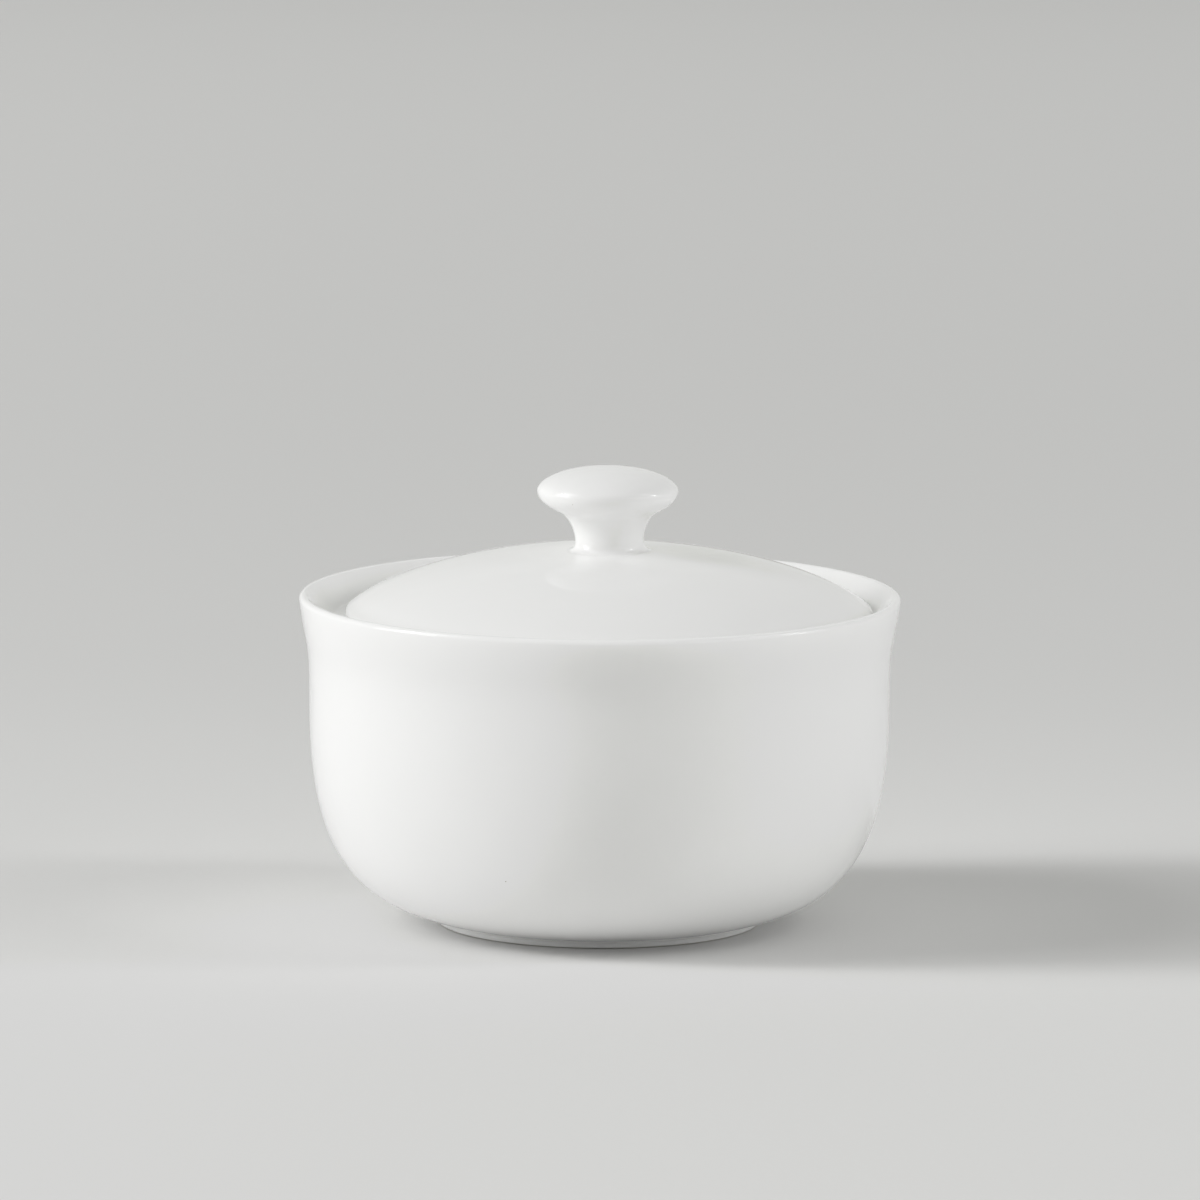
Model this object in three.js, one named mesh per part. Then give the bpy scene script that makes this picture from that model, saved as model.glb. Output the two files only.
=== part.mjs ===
// Covered sugar bowl in white glazed china.
//   bowl  round bowl on a low foot ring, with a ledge inside its flared rim that carries the lid
//   lid   shallow dome whose round edge lies on the ledge, with a flange that keeps it in the mouth
//   knob  mushroom knob, made by itself and stuck with slip to the flat seat on top of the lid
// Millimetres, +Z up. The origin is the middle of the ring that the bowl stands on.

import * as THREE from 'three';

// Bowl, outside
const RIM_RADIUS = 55;
const BOWL_HEIGHT = 60.5;
const LIP_RADIUS = 0.85; // the lip is a half round of this radius
const LIP_LEAN = 8.5; // degrees that the flare leans out where it meets the lip
const WAIST_RADIUS = 53.1; // the wall stands upright here, between the belly and the flare
const WAIST_HEIGHT = 40;
const BELLY_ANGLE = 12; // degrees that the belly rises where it leaves the foot
const FOOT_RADIUS = 29.7;
const FOOT_WIDTH = 3.2;
const FOOT_STEP = 0.3; // upright part of the foot, between its rounding and its fillet
const FOOT_ROUNDING = 0.4;
const FOOT_FILLET = 0.8;

// Bowl, inside
const WALL = 2.6;
const FLOOR = 2.4;
const WELL_DEPTH = 1; // hollow under the floor, inside the foot ring
const LEDGE_DEPTH = 4.5; // from the rim down to the ledge
const LEDGE_THICKNESS = 2.4;
const LEDGE_ROUNDING = 0.6;
const LEDGE_UNDERCUT = 18; // degrees that the ledge's underside falls away towards the wall
const RIM_SPLAY = 38; // degrees that the inside of the rim leans out above the ledge

// Lid
const LID_RADIUS = 48.2;
const LID_RISE = 12.7; // from the ledge up to the knob's seat
const LID_WALL = 2.6;
const LID_EDGE_RADIUS = 1.2;
const LID_SLOPE = 40; // degrees that the dome falls where it meets the round edge
const FLANGE_DEPTH = 4; // below the ledge
const FLANGE_WIDTH = 2.2;

// Fit of the lid in the bowl
const LID_PLAY = 1.9; // the lid can slide this far sideways from the middle of the ledge
const LID_PLAY_USED = 0.9; // share of the play by which the lid lies off the middle, towards +X
const LEDGE_BEARING = 0.9; // ledge left under the lid's edge when all the play is used
const FLANGE_CLEARANCE = 0.4; // left between flange and ledge when all the play is used

// Knob
const NECK_RADIUS = 6.25;
const NECK_HEIGHT = 6.9; // from the seat to where the neck has spread to the cap's underside
const NECK_SPREAD = 2.4;
const CAP_OVERHANG = 6.65; // from the neck out to the cap's widest circle
const CAP_SKIRT = 4.1; // from the end of the neck up to the cap's widest circle
const CAP_CROWN = 4.3; // from the cap's widest circle up to its top
const CAP_UNDERSIDE = 33; // degrees that the cap's underside rises
const SLIP_FILLET = 0.9; // round of slip between neck and lid
const SLIP_EDGE = 0.2; // thickness of the slip where it runs out on the seat
const SEAT_MARGIN = 0.3; // flat left on the lid around the knob

// How long each curve keeps to its direction at its two ends, as shares of its chord
const BELLY_PULL = [0.33, 0.6];
const FLARE_PULL = [0.66, 0.55];
const COVE_PULL = [0.38, 0.33];
const UNDERCUT_PULL = [0.42, 0.62];
const FLOOR_PULL = [0.1, 0.5];
const DOME_PULL = [0.17, 0.43];
const NECK_PULL = [0.44, 0.23];
const SKIRT_PULL = [0.3, 0.37];
const CROWN_PULL = [0.11, 0.67];

// Fineness of the faceted surfaces
const BODY_SIDES = 48;
const KNOB_SIDES = 32;
const LONG_STEPS = 12;
const SHORT_STEPS = 6;
const CORNER_STEPS = 2;

// Sizes that follow from the ones above
const footHeight = FOOT_ROUNDING + FOOT_STEP + FOOT_FILLET;
const footInner = FOOT_RADIUS - FOOT_WIDTH;
const floorHeight = WELL_DEPTH + FLOOR;
const ledgeHeight = BOWL_HEIGHT - LEDGE_DEPTH;
const bearingRadius = LID_RADIUS - LID_EDGE_RADIUS;
const ledgeOuter = bearingRadius + LID_PLAY;
const ledgeInner = bearingRadius - LID_PLAY - LEDGE_BEARING - LEDGE_ROUNDING;
const flangeOuter = ledgeInner - LID_PLAY - FLANGE_CLEARANCE;
const flangeInner = flangeOuter - FLANGE_WIDTH;
const lidShift = LID_PLAY * LID_PLAY_USED;
const slipRadius = NECK_RADIUS + SLIP_FILLET;
const seatRadius = slipRadius + SEAT_MARGIN;

// Outlines are drawn in a plane through the axis: x is the radius, y the height.
function point(radius, height) {
  return new THREE.Vector2(radius, height);
}

function heading(angle) {
  const turn = THREE.MathUtils.degToRad(angle);
  return point(Math.cos(turn), Math.sin(turn));
}

// A curve that leaves one point and reaches another at set angles.
function sweep(start, startAngle, end, endAngle, [startPull, endPull]) {
  const chord = start.distanceTo(end);
  const leaving = heading(startAngle).multiplyScalar(chord * startPull).add(start);
  const arriving = heading(endAngle).multiplyScalar(-chord * endPull).add(end);
  return new THREE.CubicBezierCurve(start, leaving, arriving, end);
}

// An arc from one angle to another, clockwise if the second is the smaller.
function round(centre, radius, startAngle, endAngle) {
  const start = THREE.MathUtils.degToRad(startAngle);
  const end = THREE.MathUtils.degToRad(endAngle);
  return new THREE.EllipseCurve(centre.x, centre.y, radius, radius, start, end, end < start);
}

// Points of a curve moved square to it, to its left as it runs, by a wall's thickness.
function offset(curve, thickness, steps) {
  return Array.from({ length: steps + 1 }, (_, step) => {
    const tangent = curve.getTangent(step / steps);
    const inward = point(-tangent.y, tangent.x).multiplyScalar(thickness);
    return curve.getPoint(step / steps).add(inward);
  });
}

// The part of an outline that runs out from the axis up to a radius, ended exactly there.
function upToRadius(points, radius) {
  const next = points.findIndex((candidate) => candidate.x > radius);
  const inside = points[next - 1];
  const outside = points[next];
  const share = (radius - inside.x) / (outside.x - inside.x);
  return [...points.slice(0, next), inside.clone().lerp(outside, share)];
}

// Turns an outline about the axis, leaving out points where one stretch ends and the next begins.
function turned(name, outline, sides, material) {
  const closeness = 1e-6;
  const isNew = (candidate, index) => index === 0 || candidate.distanceTo(outline[index - 1]) > closeness;
  const geometry = new THREE.LatheGeometry(outline.filter(isNew), sides);
  geometry.rotateX(Math.PI / 2);
  const mesh = new THREE.Mesh(geometry, material);
  mesh.name = name;
  return mesh;
}

function glazedChina(colour) {
  return new THREE.MeshStandardMaterial({ color: colour, roughness: 0.18, metalness: 0 });
}

function makeBowl() {
  const footStart = point(footInner + FOOT_ROUNDING, FOOT_ROUNDING);
  const footEnd = point(FOOT_RADIUS - FOOT_ROUNDING, FOOT_ROUNDING);
  const filletCentre = point(FOOT_RADIUS + FOOT_FILLET, footHeight - FOOT_FILLET);
  const footRun = round(filletCentre, FOOT_FILLET, 180, 90 + BELLY_ANGLE);

  const waist = point(WAIST_RADIUS, WAIST_HEIGHT);
  const lipCentre = point(RIM_RADIUS - LIP_RADIUS, BOWL_HEIGHT - LIP_RADIUS);
  const lip = round(lipCentre, LIP_RADIUS, -LIP_LEAN, 180 - RIM_SPLAY);
  const belly = sweep(footRun.getPoint(1), BELLY_ANGLE, waist, 90, BELLY_PULL);
  const flare = sweep(waist, 90, lip.getPoint(0), 90 - LIP_LEAN, FLARE_PULL);
  const cove = sweep(lip.getPoint(1), 270 - RIM_SPLAY, point(ledgeOuter, ledgeHeight), 180, COVE_PULL);

  const noseRadius = ledgeInner + LEDGE_ROUNDING;
  const noseTop = round(point(noseRadius, ledgeHeight - LEDGE_ROUNDING), LEDGE_ROUNDING, 90, 180);
  const noseFoot = point(noseRadius, ledgeHeight - LEDGE_THICKNESS + LEDGE_ROUNDING);
  const noseBottom = round(noseFoot, LEDGE_ROUNDING, 180, 270 - LEDGE_UNDERCUT);
  const insideWaist = point(WAIST_RADIUS - WALL, WAIST_HEIGHT);
  const undercut = sweep(noseBottom.getPoint(1), -LEDGE_UNDERCUT, insideWaist, -90, UNDERCUT_PULL);
  const inside = offset(belly, WALL, LONG_STEPS).reverse();
  const floor = sweep(inside.at(-1), 180 + BELLY_ANGLE, point(0, floorHeight), 180, FLOOR_PULL);

  const outline = [
    point(0, WELL_DEPTH),
    point(footInner, WELL_DEPTH),
    ...round(footStart, FOOT_ROUNDING, 180, 270).getPoints(CORNER_STEPS),
    ...round(footEnd, FOOT_ROUNDING, 270, 360).getPoints(CORNER_STEPS),
    ...footRun.getPoints(CORNER_STEPS),
    ...belly.getPoints(LONG_STEPS),
    ...flare.getPoints(SHORT_STEPS),
    ...lip.getPoints(SHORT_STEPS),
    ...cove.getPoints(SHORT_STEPS),
    ...noseTop.getPoints(CORNER_STEPS),
    ...noseBottom.getPoints(CORNER_STEPS),
    ...undercut.getPoints(SHORT_STEPS),
    ...inside,
    ...floor.getPoints(SHORT_STEPS),
  ];
  return turned('bowl', outline, BODY_SIDES, glazedChina(0xf2f1ec));
}

// Heights on the lid count from the ledge that it lies on.
function makeLid() {
  const edgeCentre = point(bearingRadius, LID_EDGE_RADIUS);
  const edge = round(edgeCentre, LID_EDGE_RADIUS, -90, 90 - LID_SLOPE);
  const seatEdge = point(seatRadius, LID_RISE);
  const dome = sweep(edge.getPoint(1), 180 - LID_SLOPE, seatEdge, 180, DOME_PULL);
  const underside = [point(0, LID_RISE - LID_WALL), ...offset(dome, LID_WALL, LONG_STEPS).reverse()];
  const flangeRound = FLANGE_WIDTH / 2;
  const flangeEnd = point(flangeInner + flangeRound, flangeRound - FLANGE_DEPTH);

  const outline = [
    ...upToRadius(underside, flangeInner),
    ...round(flangeEnd, flangeRound, 180, 360).getPoints(SHORT_STEPS),
    point(flangeOuter, 0),
    ...edge.getPoints(SHORT_STEPS),
    ...dome.getPoints(LONG_STEPS),
    point(0, LID_RISE),
  ];
  return turned('lid', outline, BODY_SIDES, glazedChina(0xf3f2ee));
}

// Heights on the knob count from the lid's seat.
function makeKnob() {
  const slip = round(point(slipRadius, SLIP_EDGE + SLIP_FILLET), SLIP_FILLET, 270, 180);
  const neckEnd = point(NECK_RADIUS + NECK_SPREAD, NECK_HEIGHT);
  const widest = point(NECK_RADIUS + CAP_OVERHANG, NECK_HEIGHT + CAP_SKIRT);
  const top = point(0, NECK_HEIGHT + CAP_SKIRT + CAP_CROWN);
  const neck = sweep(slip.getPoint(1), 90, neckEnd, CAP_UNDERSIDE, NECK_PULL);
  const skirt = sweep(neckEnd, CAP_UNDERSIDE, widest, 90, SKIRT_PULL);
  const crown = sweep(widest, 90, top, 180, CROWN_PULL);

  const outline = [
    point(0, 0),
    point(slipRadius, 0),
    ...slip.getPoints(CORNER_STEPS),
    ...neck.getPoints(SHORT_STEPS),
    ...skirt.getPoints(SHORT_STEPS),
    ...crown.getPoints(LONG_STEPS),
  ];
  return turned('knob', outline, KNOB_SIDES, glazedChina(0xf4f3ef));
}

// The knob sits on the lid's seat, and the lid on the bowl's ledge, slid across by part of its play.
const knobPlace = new THREE.Group();
knobPlace.position.z = LID_RISE;
knobPlace.add(makeKnob());

const lidPlace = new THREE.Group();
lidPlace.position.set(lidShift, 0, ledgeHeight);
lidPlace.add(makeLid(), knobPlace);

const sugarBowl = new THREE.Group();
sugarBowl.add(makeBowl(), lidPlace);

export default sugarBowl;
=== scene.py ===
# %% [markdown]
# # A covered sugar bowl in white glazed china
# The bowl, its lid and the lid's knob are all round, so each one is drawn as half an outline and turned
# about an upright axis, the way a potter's template shapes clay on a wheel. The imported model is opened
# first: it fixes where every piece stands and how large it is, and the finer surfaces made here are
# laid over it. Lengths are in metres and angles in degrees, +Z is up, and the bowl stands on the origin.

# %% Open the frame
import math

import bmesh
import bpy
import numpy as np
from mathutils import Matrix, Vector


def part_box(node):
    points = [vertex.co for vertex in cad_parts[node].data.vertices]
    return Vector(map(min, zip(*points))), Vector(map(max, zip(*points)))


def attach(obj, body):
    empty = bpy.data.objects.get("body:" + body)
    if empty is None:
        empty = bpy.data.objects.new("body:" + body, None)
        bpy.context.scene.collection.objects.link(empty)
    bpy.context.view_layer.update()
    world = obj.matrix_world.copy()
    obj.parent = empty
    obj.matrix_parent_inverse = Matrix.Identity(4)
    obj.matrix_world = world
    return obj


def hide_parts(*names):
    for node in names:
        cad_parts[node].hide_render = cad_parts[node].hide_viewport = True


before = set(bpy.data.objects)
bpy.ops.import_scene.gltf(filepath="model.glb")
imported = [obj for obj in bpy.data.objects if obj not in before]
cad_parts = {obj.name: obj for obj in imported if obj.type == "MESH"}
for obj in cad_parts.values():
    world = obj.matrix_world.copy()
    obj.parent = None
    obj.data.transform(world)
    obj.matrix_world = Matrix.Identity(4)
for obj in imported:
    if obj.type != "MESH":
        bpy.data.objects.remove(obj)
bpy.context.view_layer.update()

bowl_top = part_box("bowl")[1].z
lid_low, lid_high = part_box("lid")
knob_low, knob_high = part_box("knob")
lid_axis = (lid_low.x + lid_high.x) / 2
print(f"bowl {bowl_top * 1000:.1f} mm high, lid set {lid_axis * 1000:.2f} mm to the right of its axis")

# %% [markdown]
# ## Drawing an outline
# An outline could be a long list of measured points, but then nobody could change it. Here it is a few
# arcs and sweeps: a sweep leaves one point at a set angle, arrives at another at a set angle, and two
# pulls say how long it keeps to each angle. A point in an outline is (radius, height).

# %% Outline tools
FINENESS = 0.0011
LEAST_POINTS = 16
ARC_STEP = 9
LEAST_STEPS = 4


def heading(angle):
    turn = math.radians(angle)
    return np.array((math.cos(turn), math.sin(turn)))


def sweep(start, start_angle, end, end_angle, pulls):
    """A smooth curve between two points that keeps to an angle at each end."""
    start, end = np.array(start), np.array(end)
    chord = np.linalg.norm(end - start)
    leaving = start + heading(start_angle) * chord * pulls[0]
    arriving = end - heading(end_angle) * chord * pulls[1]
    t = np.linspace(0, 1, max(LEAST_POINTS, round(chord / FINENESS)))[:, None]
    s = 1 - t
    return s**3 * start + 3 * s**2 * t * leaving + 3 * s * t**2 * arriving + t**3 * end


def arc(centre, radius, start_angle, end_angle):
    """Part of a circle, from one angle round to another."""
    steps = max(LEAST_STEPS, round(abs(end_angle - start_angle) / ARC_STEP))
    angles = np.linspace(start_angle, end_angle, steps + 1)
    return np.array([np.array(centre) + radius * heading(angle) for angle in angles])


def offset(points, thickness):
    """The same curve, moved to its left as it runs by a wall's thickness."""
    along = np.gradient(points, axis=0)
    along /= np.linalg.norm(along, axis=1)[:, None]
    return points + thickness * np.stack((-along[:, 1], along[:, 0]), 1)


print(f"a quarter round is drawn with {len(arc((0, 0), 1, 0, 90))} points")

# %% [markdown]
# ## Turning an outline into a solid
# Blender's Screw modifier or a spin would turn an outline too. Rings of vertices made one after another
# keep the poles on the axis clean, one vertex each, and leave an even grid of quads that takes smooth
# shading well.

# %% Turning tool
SIDES = 180
ON_AXIS = 1e-7
CREASE = 38


def turned(name, outline, axis=0.0):
    """Turns an outline about the upright line at x = axis."""
    keep = [True, *(np.linalg.norm(np.diff(outline, axis=0), axis=1) > ON_AXIS)]
    angles = np.arange(SIDES) * 2 * math.pi / SIDES
    shape = bmesh.new()
    rings = []
    for radius, height in outline[keep]:
        spots = [(axis, 0, height)]
        if radius > ON_AXIS:
            spots = [(axis + radius * math.cos(a), radius * math.sin(a), height) for a in angles]
        rings.append([shape.verts.new(spot) for spot in spots])
    for lower, upper in zip(rings, rings[1:]):
        for k in range(SIDES):
            corners = [lower[k % len(lower)], lower[(k + 1) % SIDES % len(lower)]]
            corners += [upper[(k + 1) % SIDES % len(upper)], upper[k % len(upper)]]
            face = shape.faces.new(list(dict.fromkeys(corners)))
            face.smooth = True
    mesh = bpy.data.meshes.new(name)
    shape.to_mesh(mesh)
    shape.free()
    mesh.set_sharp_from_angle(angle=math.radians(CREASE))
    piece = bpy.data.objects.new(name, mesh)
    bpy.context.scene.collection.objects.link(piece)
    print(f"{name}: {len(mesh.polygons)} faces from an outline of {sum(keep)} points")
    return piece


# %% [markdown]
# ## The bowl's foot and belly
# A low foot ring carries the bowl. It is hollow underneath and bevelled at its outer edge, and a full
# belly rises almost flat from it to an upright waist. The foot could be left as a plain step, but the
# bevel makes the thin dark line on the table that shows where the bowl stands.

# %% Foot and belly
FOOT_RADIUS = 0.0297
FOOT_WIDTH = 0.0032
FOOT_HEIGHT = 0.0015
FOOT_ROUNDING = 0.0004
FOOT_BEVEL = 0.0016
FOOT_BEVEL_HEIGHT = 0.0003
FOOT_BEVEL_ANGLES = (14, 58)
FOOT_BEVEL_PULLS = (0.4, 0.3)
FOOT_FILLET = 0.0008
WELL_DEPTH = 0.001
LINE_PULLS = (0.3, 0.3)
BELLY_ANGLE = 12
BELLY_PULLS = (0.33, 0.6)
WAIST_RADIUS = 0.0531
WAIST_HEIGHT = 0.040

foot_inner = FOOT_RADIUS - FOOT_WIDTH
well = sweep((0, WELL_DEPTH), 0, (foot_inner, WELL_DEPTH), 0, LINE_PULLS)
foot_start = arc((foot_inner + FOOT_ROUNDING, FOOT_ROUNDING), FOOT_ROUNDING, 180, 270)
bevel_start = (FOOT_RADIUS - FOOT_BEVEL, 0)
bevel_end = (FOOT_RADIUS, FOOT_BEVEL_HEIGHT)
foot_end = sweep(bevel_start, FOOT_BEVEL_ANGLES[0], bevel_end, FOOT_BEVEL_ANGLES[1], FOOT_BEVEL_PULLS)
fillet_centre = (FOOT_RADIUS + FOOT_FILLET, FOOT_HEIGHT - FOOT_FILLET)
fillet = arc(fillet_centre, FOOT_FILLET, 180, 90 + BELLY_ANGLE)
waist = (WAIST_RADIUS, WAIST_HEIGHT)
belly = sweep(fillet[-1], BELLY_ANGLE, waist, 90, BELLY_PULLS)
print(f"belly: {len(belly)} points from the foot up to the waist")

# %% [markdown]
# ## The bowl's rim
# Above the waist the wall flares out to a thin round lip. A sharp edge would be quicker to draw, but the
# round of the lip is what catches the line of light along the rim, so it is a true arc.

# %% Rim
RIM_RADIUS = 0.055
RIM_SPLAY = 38
LIP_RADIUS = 0.00085
LIP_LEAN = 8.5
FLARE_PULLS = (0.66, 0.55)

lip_centre = (RIM_RADIUS - LIP_RADIUS, bowl_top - LIP_RADIUS)
lip = arc(lip_centre, LIP_RADIUS, -LIP_LEAN, 180 - RIM_SPLAY)
flare = sweep(waist, 90, lip[0], 90 - LIP_LEAN, FLARE_PULLS)
print(f"rim: {2000 * RIM_RADIUS:.0f} mm across, lip {2000 * LIP_RADIUS:.1f} mm thick")

# %% [markdown]
# ## The ledge and the inside
# Inside the rim a cove leads down to the ledge that carries the lid. Nobody sees it until the lid is
# lifted, but it is real clay, so it is drawn too. The inside of the belly is the outside moved in by the
# wall's thickness, so the wall stays even when the belly is changed.

# %% Ledge and inside
WALL = 0.0026
FLOOR_TOP = 0.0034
FLOOR_PULLS = (0.1, 0.5)
FLANGE_DEPTH = 0.004
LEDGE_INNER = 0.0436
LEDGE_OUTER = 0.0489
LEDGE_THICKNESS = 0.0024
LEDGE_ROUNDING = 0.0006
LEDGE_UNDERCUT = 18
COVE_PULLS = (0.38, 0.33)
UNDERCUT_PULLS = (0.42, 0.62)

ledge_height = lid_low.z + FLANGE_DEPTH
cove = sweep(lip[-1], 270 - RIM_SPLAY, (LEDGE_OUTER, ledge_height), 180, COVE_PULLS)
nose = LEDGE_INNER + LEDGE_ROUNDING
nose_top = arc((nose, ledge_height - LEDGE_ROUNDING), LEDGE_ROUNDING, 90, 180)
nose_low = ledge_height - LEDGE_THICKNESS + LEDGE_ROUNDING
nose_bottom = arc((nose, nose_low), LEDGE_ROUNDING, 180, 270 - LEDGE_UNDERCUT)
inside_waist = (WAIST_RADIUS - WALL, WAIST_HEIGHT)
undercut = sweep(nose_bottom[-1], -LEDGE_UNDERCUT, inside_waist, -90, UNDERCUT_PULLS)
inside = offset(belly, WALL)[::-1]
bowl_floor = sweep(inside[-1], 180 + BELLY_ANGLE, (0, FLOOR_TOP), 180, FLOOR_PULLS)
print(f"ledge: {ledge_height * 1000:.1f} mm above the table")

# %% [markdown]
# ## Turning the bowl
# The outside and the hollow could be two surfaces, but clay has no seam between them. So the curves
# follow one another, from the middle of the foot over the lip to the middle of the inside, and turn into
# one closed wall.

# %% Turn the bowl
outside = [well, foot_start, foot_end, fillet, belly, flare, lip]
hollow = [cove, nose_top, nose_bottom, undercut, inside, bowl_floor]
bowl = turned("sugar_bowl", np.concatenate(outside + hollow))

# %% [markdown]
# ## The lid
# A shallow dome that falls steeper towards its edge, a round edge that catches a line of light, a flat
# land under the edge that lies on the ledge, and a flange that keeps the lid from sliding off. The knob
# stands on the flat seat on top. The underside is the dome moved in by the lid's own wall.

# %% Lid
LID_EDGE = 0.0012
LID_SLOPE = 40
LID_WALL = 0.0026
DOME_PULLS = (0.17, 0.43)
SEAT_RADIUS = 0.00745
FLANGE_OUTER = 0.0413
FLANGE_WIDTH = 0.0022

lid_radius = (lid_high.x - lid_low.x) / 2
seat_height = knob_low.z


def lid_outline():
    edge = arc((lid_radius - LID_EDGE, ledge_height + LID_EDGE), LID_EDGE, -90, 90 - LID_SLOPE)
    dome = sweep(edge[-1], 180 - LID_SLOPE, (SEAT_RADIUS, seat_height), 180, DOME_PULLS)
    seat = sweep((SEAT_RADIUS, seat_height), 180, (0, seat_height), 180, LINE_PULLS)
    flange_inner = FLANGE_OUTER - FLANGE_WIDTH
    under_dome = offset(np.concatenate([dome, seat[1:]]), LID_WALL)[::-1]
    under_dome = under_dome[under_dome[:, 0] < flange_inner]
    under_dome[0, 0] = 0
    flange_round = FLANGE_WIDTH / 2
    flange = arc((flange_inner + flange_round, lid_low.z + flange_round), flange_round, 180, 360)
    flange_top = np.array([(flange_inner, under_dome[-1, 1])])
    corner = np.array([(FLANGE_OUTER, ledge_height)])
    return np.concatenate([under_dome, flange_top, flange, corner, edge, dome, seat])


lid = turned("lid_dome", lid_outline(), lid_axis)

# %% [markdown]
# ## The knob
# A mushroom: a narrow neck that spreads into the underside of a broad, nearly flat cap. It could be drawn
# in one line with the lid, but a potter casts it by itself, presses it a little into the soft lid and
# sticks it on with slip. So it is a piece of its own, and its foot reaches just below the seat.

# %% Knob
NECK_RADIUS = 0.00625
NECK_HEIGHT = 0.0069
NECK_SPREAD = 0.0024
NECK_PULLS = (0.44, 0.23)
CAP_SKIRT = 0.0041
CAP_UNDERSIDE = 33
SKIRT_PULLS = (0.3, 0.37)
CROWN_PULLS = (0.11, 0.67)
KNOB_SINK = 0.0005
SLIP_SPREAD = 0.0016
SLIP_RISE = 0.0016
SLIP_PULLS = (0.42, 0.42)

cap_radius = (knob_high.x - knob_low.x) / 2
cap_height = seat_height + NECK_HEIGHT + CAP_SKIRT


def knob_outline():
    slip_radius = NECK_RADIUS + SLIP_SPREAD
    slip_top = (NECK_RADIUS, seat_height + SLIP_RISE)
    slip = sweep((slip_radius, seat_height), 180, slip_top, 90, SLIP_PULLS)
    neck_end = (NECK_RADIUS + NECK_SPREAD, seat_height + NECK_HEIGHT)
    widest = (cap_radius, cap_height)
    neck = sweep(slip[-1], 90, neck_end, CAP_UNDERSIDE, NECK_PULLS)
    skirt = sweep(neck_end, CAP_UNDERSIDE, widest, 90, SKIRT_PULLS)
    crown = sweep(widest, 90, (0, knob_high.z), 180, CROWN_PULLS)
    base = np.array([(0, seat_height - KNOB_SINK), (slip_radius, seat_height - KNOB_SINK)])
    return np.concatenate([base, slip, neck, skirt, crown])


knob = turned("lid_knob", knob_outline(), lid_axis)

# %% [markdown]
# ## Traces of the hand
# A turned shape is perfectly even, and the real knob isn't. A wet brush has spread the slip round its
# neck unevenly, and the cap stands a hair to the left. Sculpting would do it too, but moving the
# vertices by a formula gives the same knob each time.

# %% Uneven slip and lean
SMEAR = 0.00015
SMEAR_WAVES = ((2, 0.6), (5, 2.1))  # waves round the neck, and where each one starts
CAP_LEAN = -0.0004


def smear(piece):
    """Pushes the slip in and out round the neck, most at its foot."""
    for vertex in piece.data.vertices:
        share = max(0, 1 - (vertex.co.z - seat_height) / SLIP_RISE)
        out = Vector((vertex.co.x - lid_axis, vertex.co.y, 0))
        turn = math.atan2(out.y, out.x)
        push = SMEAR * sum(math.sin(waves * turn + start) for waves, start in SMEAR_WAVES)
        vertex.co += out.normalized() * push * min(share, 1)


def lean(piece, foot, top, shift):
    """Carries the piece sideways, from nothing at its foot to the whole shift at its top."""
    for vertex in piece.data.vertices:
        share = min(max((vertex.co.z - foot) / (top - foot), 0), 1)
        vertex.co.x += shift * share * share * (3 - 2 * share)


smear(knob)
lean(knob, seat_height, cap_height, CAP_LEAN)
print(f"knob: cap moved {CAP_LEAN * 1000:.1f} mm sideways, slip uneven by {SMEAR * 1000:.2f} mm a wave")

# %% [markdown]
# ## Sums on shader sockets
# A material is a tree of nodes. Writing every Math node by hand hides the formula, so a small class
# stands for one output socket and turns ordinary sums into nodes. Any other node comes from its one
# `node` method.

# %% Shader tool
class Signal:
    """One output of a shader node, to be used in sums."""

    def __init__(self, tree, socket):
        self.tree = tree
        self.socket = socket

    @classmethod
    def node(cls, tree, kind, settings=None, inputs=None, output=0):
        made = tree.nodes.new("ShaderNode" + kind)
        for name, value in (settings or {}).items():
            setattr(made, name, value)
        for name, value in (inputs or {}).items():
            cls.feed(tree, made.inputs[name], value)
        return cls(tree, made.outputs[output])

    @staticmethod
    def feed(tree, socket, value):
        if isinstance(value, Signal):
            tree.links.new(value.socket, socket)
        else:
            socket.default_value = value

    def maths(self, operation, first, second):
        return Signal.node(self.tree, "Math", {"operation": operation}, {0: first, 1: second})

    def __add__(self, other):
        return self.maths("ADD", self, other)

    def __sub__(self, other):
        return self.maths("SUBTRACT", self, other)

    def __rsub__(self, other):
        return self.maths("SUBTRACT", other, self)

    def __mul__(self, other):
        return self.maths("MULTIPLY", self, other)

    def __lt__(self, other):
        return self.maths("LESS_THAN", self, other)

    def __gt__(self, other):
        return self.maths("GREATER_THAN", self, other)

    __radd__ = __add__
    __rmul__ = __mul__


# %% [markdown]
# ## Helpers for materials
# Every finish here opens a new material, asks for noise, mixes two colours and at last sets or links the
# sockets of the Principled shader. Four short helpers say so in one line each.

# %% Material helpers
def new_material(name):
    material = bpy.data.materials.new(name)
    material.use_nodes = True
    return material, material.node_tree


def noise(tree, place, scale, detail):
    return Signal.node(tree, "TexNoise", inputs={"Vector": place, "Scale": scale, "Detail": detail})


def mixed(tree, share, first, second):
    """A colour between two others."""
    return Signal.node(tree, "Mix", {"data_type": "RGBA"}, {0: share, 6: first, 7: second}, 2)


def set_shader(tree, sockets):
    """Sets or links the named sockets of the tree's shader."""
    shader = tree.nodes["Principled BSDF"]
    for name, value in sockets.items():
        Signal.feed(tree, shader.inputs[name], value)


# %% [markdown]
# ## Where the glaze is wiped off
# Glaze melts in the kiln and would weld the lid to the bowl and the bowl to its shelf. So the potter
# wipes it off the foot ring, the ledge and the land under the lid's edge. A mask in the material marks
# such a ring by its two radii and two heights; a little noise on the radius gives the uneven edge that a
# sponge leaves.

# %% Wiped rings
SPONGE_SCALE = 180.0
SPONGE_DETAIL = 2.0
SPONGE_WANDER = 0.0005


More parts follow.
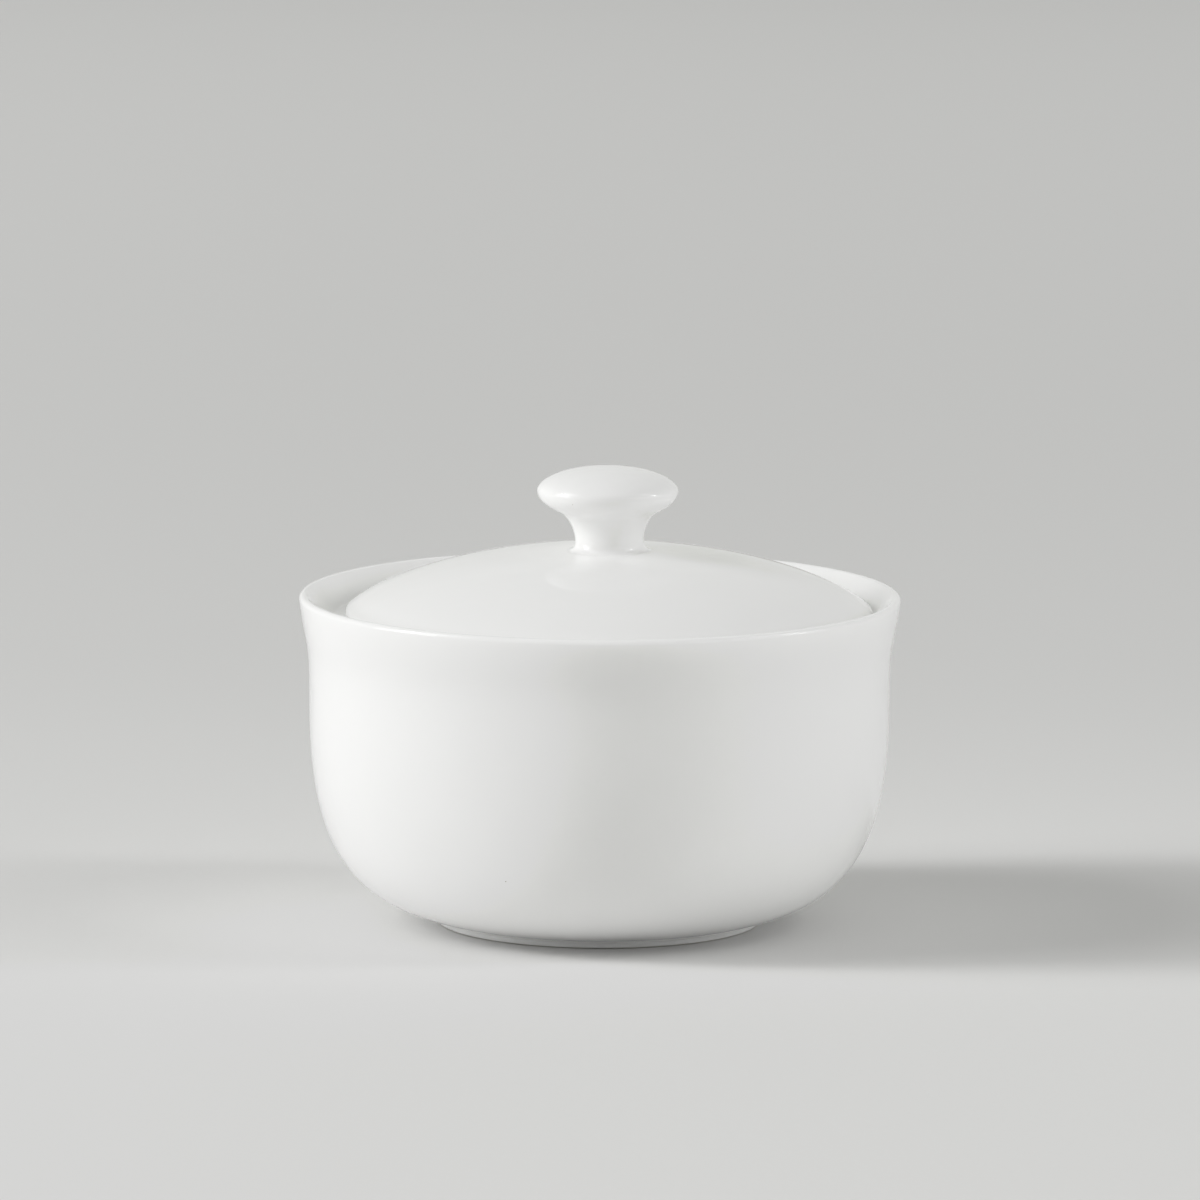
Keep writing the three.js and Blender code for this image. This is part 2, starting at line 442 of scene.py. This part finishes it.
def ring_mask(tree, place, axis, radii, heights):
    """One on the ring between the two radii and the two heights, nought elsewhere."""
    flat = {0: place, 1: (1, 1, 0), 2: (-axis, 0, 0)}
    flat = Signal.node(tree, "VectorMath", {"operation": "MULTIPLY_ADD"}, flat)
    radius = Signal.node(tree, "VectorMath", {"operation": "LENGTH"}, {0: flat}, "Value")
    radius = radius + (noise(tree, place, SPONGE_SCALE, SPONGE_DETAIL) - 0.5) * SPONGE_WANDER
    height = Signal.node(tree, "SeparateXYZ", inputs={0: place}, output="Z")
    return (radius > radii[0]) * (radius < radii[1]) * (height > heights[0]) * (height < heights[1])


# %% [markdown]
# ## White china under a clear glaze
# The body is an almost white clay, fired until light soaks a little way into it, which subsurface
# scattering stands for. The gloss could be the body's own, but on china it is a separate clear layer, so
# it is the coat of the Principled shader. The body's colour drifts a little, rare specks show where iron
# burnt in, and the glaze has the faint ripple of a surface that once ran.

# %% Glaze
CHINA_THIN = (0.905, 0.905, 0.897, 1)
CHINA_THICK = (0.88, 0.882, 0.873, 1)
DRIFT_SCALE = 55.0
DRIFT_DETAIL = 2.0
DRIFT_HEIGHT = 2.0
RIPPLE_SCALE = 260.0
RIPPLE_DETAIL = 1.0
RIPPLE_STRENGTH = 0.06
RIPPLE_DEPTH = 0.0006
SPECK_COLOUR = (0.42, 0.39, 0.34, 1)
SPECK_RADIUS = 0.00012
SPECK_SPACING = 0.0098
SPECK_PIT = 0.5
BARE_CLAY = (0.64, 0.62, 0.575, 1)
CLAY_SCALE = 2600.0
CLAY_DETAIL = 2.0
CLAY_HEIGHT = 2.0
BODY = {"Roughness": 0.5, "Specular IOR Level": 0.0, "Subsurface Radius": (1.0, 1.0, 1.0)}
COAT = {"Coat Weight": 1.0, "Coat Roughness": 0.045, "Coat IOR": 1.5}


def specks(tree, place):
    """One inside each burnt speck, nought elsewhere."""
    spacing = {"Vector": place, "Scale": 1 / SPECK_SPACING}
    nearest = Signal.node(tree, "TexVoronoi", inputs=spacing, output="Distance")
    return nearest < SPECK_RADIUS / SPECK_SPACING


def glazed_china(name, soaking, soaking_depth, wiped=()):
    """China that lets a share of the light soak in to a depth, with the glaze wiped off some rings."""
    material, tree = new_material(name)
    place = Signal.node(tree, "TexCoord", output="Object")
    drift = noise(tree, place, DRIFT_SCALE, DRIFT_DETAIL)
    speck = specks(tree, place)
    colour = mixed(tree, drift, CHINA_THIN, CHINA_THICK)
    colour = mixed(tree, speck, colour, SPECK_COLOUR)
    height = noise(tree, place, RIPPLE_SCALE, RIPPLE_DETAIL) + drift * DRIFT_HEIGHT - speck * SPECK_PIT
    set_shader(tree, BODY | COAT | {"Subsurface Weight": soaking, "Subsurface Scale": soaking_depth})
    if wiped:
        bare = sum(ring_mask(tree, place, *ring) for ring in wiped)
        colour = mixed(tree, bare, colour, BARE_CLAY)
        height = height + bare * noise(tree, place, CLAY_SCALE, CLAY_DETAIL) * CLAY_HEIGHT
        set_shader(tree, {"Coat Weight": 1 - bare})
    relief = {"Strength": RIPPLE_STRENGTH, "Distance": RIPPLE_DEPTH, "Height": height}
    set_shader(tree, {"Base Color": colour, "Normal": Signal.node(tree, "Bump", inputs=relief)})
    print(f"{name}: {len(tree.nodes)} nodes, glaze wiped off {len(wiped)} rings")
    return material


# %% [markdown]
# ## The three glazes
# The bowl and the knob are thick and let much light soak in, and the lid is thinner and shows less of
# it. The bare rings are given by the same sizes as the shapes, so they stay where the pieces touch.

# %% Glazes
SKIN = 0.0003  # how far a bare ring reaches above and below its surface
FOOT_BARE = 0.00025
WIPED_MARGIN = 0.0004
BOWL_SOAKING = (1.0, 0.0016)
LID_SOAKING = (0.3, 0.001)
KNOB_SOAKING = (0.8, 0.0014)

foot_ring = (0, (foot_inner - SKIN, FOOT_RADIUS + SKIN), (-SKIN, FOOT_BARE))
ledge_flat = (LEDGE_INNER + LEDGE_ROUNDING, lid_radius - LID_EDGE - lid_axis)
ledge_ring = (0, ledge_flat, (ledge_height - SKIN, ledge_height + SKIN))
land = (FLANGE_OUTER + WIPED_MARGIN, lid_radius - LID_EDGE)
land_ring = (lid_axis, land, (ledge_height - SKIN, ledge_height + SKIN))
bowl_china = glazed_china("bowl_china", *BOWL_SOAKING, wiped=(foot_ring, ledge_ring))
lid_china = glazed_china("lid_china", *LID_SOAKING, wiped=(land_ring,))
knob_china = glazed_china("knob_china", *KNOB_SOAKING)

# %% [markdown]
# ## Dressing the pieces
# Each fine piece hides its plain solid and moves with that solid's body: the bowl stands still, the lid
# and its knob lift off together.

# %% Dress and seat the pieces
def dress(piece, node, body, material):
    piece.data.materials.append(material)
    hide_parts(node)
    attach(piece, body)
    print(f"{piece.name} stands for {node} and rides on {body}")


dress(bowl, "bowl", "bowl", bowl_china)
dress(lid, "lid", "lid", lid_china)
dress(knob, "knob", "lid", knob_china)

# %% [markdown]
# ## Paper
# The floor is a sheet of pale paper. Its fibres are far too fine to model, so a quiet noise in colour
# and bump keeps it from looking like a flat fill. In a studio the sheet often curves up behind the
# object and catches less light there. A curved sheet would stand in the way of a look from behind, so
# this one stays flat and that light is painted into its colour instead: painted shade darkens it
# behind the bowl, and painted light brightens it again slowly with distance.

# %% Paper
PAPER_LIGHT = (0.709, 0.707, 0.704, 1)
PAPER_DARK = (0.697, 0.695, 0.692, 1)
# How deep the painted shade behind the bowl goes and how strong the painted light far away is, with the
# depths over which each comes in.
PAPER_PAINTED_SHADE = 0.105
PAPER_PAINTED_SHADE_SPAN = (-0.03, 0.33)
PAPER_PAINTED_LIGHT = 0.15
PAPER_PAINTED_LIGHT_SPAN = (0.5, 1.7)
FIBRE_SCALE = 700.0
FIBRE_DETAIL = 3.0
FIBRE_STRENGTH = 0.15
FIBRE_DEPTH = 0.0002
MATT = {"Roughness": 0.9, "Specular IOR Level": 0.1}


def slope(tree, value, span):
    """Rises gently from nothing at the start of a span to one at its end."""
    reach = {"Value": value, "From Min": span[0], "From Max": span[1]}
    return Signal.node(tree, "MapRange", {"interpolation_type": "SMOOTHSTEP"}, reach)


def paper():
    material, tree = new_material("pale_paper")
    place = Signal.node(tree, "TexCoord", output="Object")
    fibre = noise(tree, place, FIBRE_SCALE, FIBRE_DETAIL)
    colour = mixed(tree, fibre, PAPER_LIGHT, PAPER_DARK)
    depth = Signal.node(tree, "SeparateXYZ", inputs={0: place}, output="Y")
    # Painted shade and painted light: the paper's colour darkens behind the bowl and brightens again far
    # away, in place of the light a curved sheet would catch.
    painted_shade = slope(tree, depth, PAPER_PAINTED_SHADE_SPAN)
    painted_tone = 1 - PAPER_PAINTED_SHADE * painted_shade + PAPER_PAINTED_LIGHT * slope(tree, depth, PAPER_PAINTED_LIGHT_SPAN)
    colour = Signal.node(tree, "VectorMath", {"operation": "SCALE"}, {0: colour, "Scale": painted_tone})
    relief = {"Strength": FIBRE_STRENGTH, "Distance": FIBRE_DEPTH, "Height": fibre}
    bump = Signal.node(tree, "Bump", inputs=relief)
    set_shader(tree, MATT | {"Base Color": colour, "Normal": bump})
    print(f"pale_paper: {len(tree.nodes)} nodes")
    return material


# %% [markdown]
# ## Floor
# One wide flat face is enough for the sheet, since nothing on it bends. It only has to fill the picture
# from every side.

# %% Floor
FLOOR_REACH = 3.6


def paper_floor():
    mesh = bpy.data.meshes.new("paper_floor")
    corners = [(-FLOOR_REACH, -FLOOR_REACH, 0), (FLOOR_REACH, -FLOOR_REACH, 0)]
    corners += [(FLOOR_REACH, FLOOR_REACH, 0), (-FLOOR_REACH, FLOOR_REACH, 0)]
    mesh.from_pydata(corners, [], [(0, 1, 2, 3)])
    mesh.materials.append(paper())
    floor = bpy.data.objects.new("paper_floor", mesh)
    bpy.context.scene.collection.objects.link(floor)
    print(f"paper floor: {2 * FLOOR_REACH:.1f} m square")


paper_floor()

# %% [markdown]
# ## Room
# The room is white and wide, and its back wall is the brightest. A picture of a room could light the
# bowl, but the world's shader can do it with five numbers: the squares of a direction's three parts add
# up to one, so they share the view smoothly among walls and ceiling.

# %% Room
LEFT_WALL = 0.45
RIGHT_WALL = 0.33
BACK_WALL = 0.76
FRONT_WALL = 0.24
CEILING = 0.155
ROOM_WHITE = (0.99, 1, 0.955, 1)


def white_room():
    world = bpy.data.worlds.new("white_room")
    bpy.context.scene.world = world
    world.use_nodes = True
    tree = world.node_tree
    way = Signal.node(tree, "TexCoord", output="Generated")
    x, y, z = [Signal.node(tree, "SeparateXYZ", inputs={0: way}, output=part) for part in "XYZ"]
    side_walls = x * x * (LEFT_WALL + (RIGHT_WALL - LEFT_WALL) * (x > 0))
    end_walls = y * y * (FRONT_WALL + (BACK_WALL - FRONT_WALL) * (y > 0))
    background = tree.nodes["Background"]
    background.inputs["Color"].default_value = ROOM_WHITE
    Signal.feed(tree, background.inputs["Strength"], side_walls + end_walls + z * z * CEILING)
    print(f"room: {len(tree.nodes)} nodes")


white_room()

# %% [markdown]
# ## Lamps
# A tall soft panel on the left with a small bright core, both about thirty degrees up, throws the long
# shadow. A low card below it reaches under the belly. On the right a broad card gives some of the light
# back, and two small lamps make the second glint on lip and knob. A faint card high in front lifts the
# side that faces the camera. Each lamp is given by where it is seen from the bowl and how wide and high
# it looks from there, in degrees, as on a photographer's plan.

# %% Lamps
LAMP_DISTANCE = 4.0
LOOK_AT = Vector((0, 0, 0.03))


def seen_size(angle):
    return 2 * LAMP_DISTANCE * math.tan(math.radians(angle / 2))


def soft_box(name, azimuth, elevation, wide, high, power):
    light = bpy.data.lights.new(name, "AREA")
    light.shape = "RECTANGLE"
    light.size = seen_size(wide)
    light.size_y = seen_size(high)
    light.energy = power
    lamp = bpy.data.objects.new(name, light)
    flat = LAMP_DISTANCE * math.cos(math.radians(elevation))
    way = Vector((*(flat * heading(azimuth)), LAMP_DISTANCE * math.sin(math.radians(elevation))))
    lamp.location = LOOK_AT + way
    lamp.rotation_euler = (-way).to_track_quat("-Z", "Y").to_euler()
    lamp.visible_camera = False
    bpy.context.scene.collection.objects.link(lamp)
    print(f"{name}: {power} W from {azimuth} degrees round, {elevation} degrees up")


soft_box("key_panel", azimuth=188, elevation=31, wide=25, high=40, power=71)
soft_box("key_core", azimuth=186, elevation=28, wide=10, high=12, power=53)
soft_box("low_card", azimuth=191, elevation=9, wide=34, high=9, power=32)
soft_box("right_card", azimuth=335, elevation=15, wide=60, high=24, power=43)
soft_box("right_lamp", azimuth=356, elevation=26, wide=9, high=18, power=24)
soft_box("high_lamp", azimuth=350, elevation=45, wide=16, high=14, power=11)
soft_box("front_card", azimuth=270, elevation=60, wide=50, high=36, power=13)

# %% [markdown]
# ## Camera
# A long lens from two metres away, some way above the rim. From close by a short lens would show the
# bowl as large, but it would bend the ellipses of rim and lid; the long one keeps them shallow.

# %% Camera
CAMERA_DISTANCE = 2.0
CAMERA_HEIGHT = 0.3651
CAMERA_TILT = 8.69
CAMERA_ROLL = 0.3
LENS = 331.9
SENSOR = 36
FARTHEST_SEEN = 50

camera_data = bpy.data.cameras.new("camera")
camera_data.lens = LENS
camera_data.sensor_width = SENSOR
camera_data.clip_end = FARTHEST_SEEN
camera = bpy.data.objects.new("camera", camera_data)
camera.location = (0, -CAMERA_DISTANCE, CAMERA_HEIGHT)
camera.rotation_mode = "XYZ"
camera.rotation_euler = (math.radians(90 - CAMERA_TILT), 0, 0)
camera.rotation_euler.rotate_axis("Z", math.radians(CAMERA_ROLL))
bpy.context.scene.collection.objects.link(camera)
bpy.context.scene.camera = camera
print(f"camera: {LENS} mm lens, tilted down by {CAMERA_TILT} degrees")

# %% [markdown]
# ## Film
# White china under a bright panel comes close to the top of the scale. A photograph rolls its brightest
# tones off instead of cutting them, so the picture's curve runs straight up to a knee and less steeply
# after it.

# %% Tone curve
KNEE = 0.66
WHITE = 0.86
ALL_COLOURS = 3  # the curve that acts on red, green and blue together

view = bpy.context.scene.view_settings
view.view_transform = "Standard"
view.use_curve_mapping = True
tones = view.curve_mapping.curves[ALL_COLOURS]
tones.points[-1].location = (1, WHITE)
tones.points.new(KNEE, KNEE)
for point in tones.points:
    point.handle_type = "VECTOR"
view.curve_mapping.update()
print(f"tones above {KNEE} rise to {WHITE} at full scale")
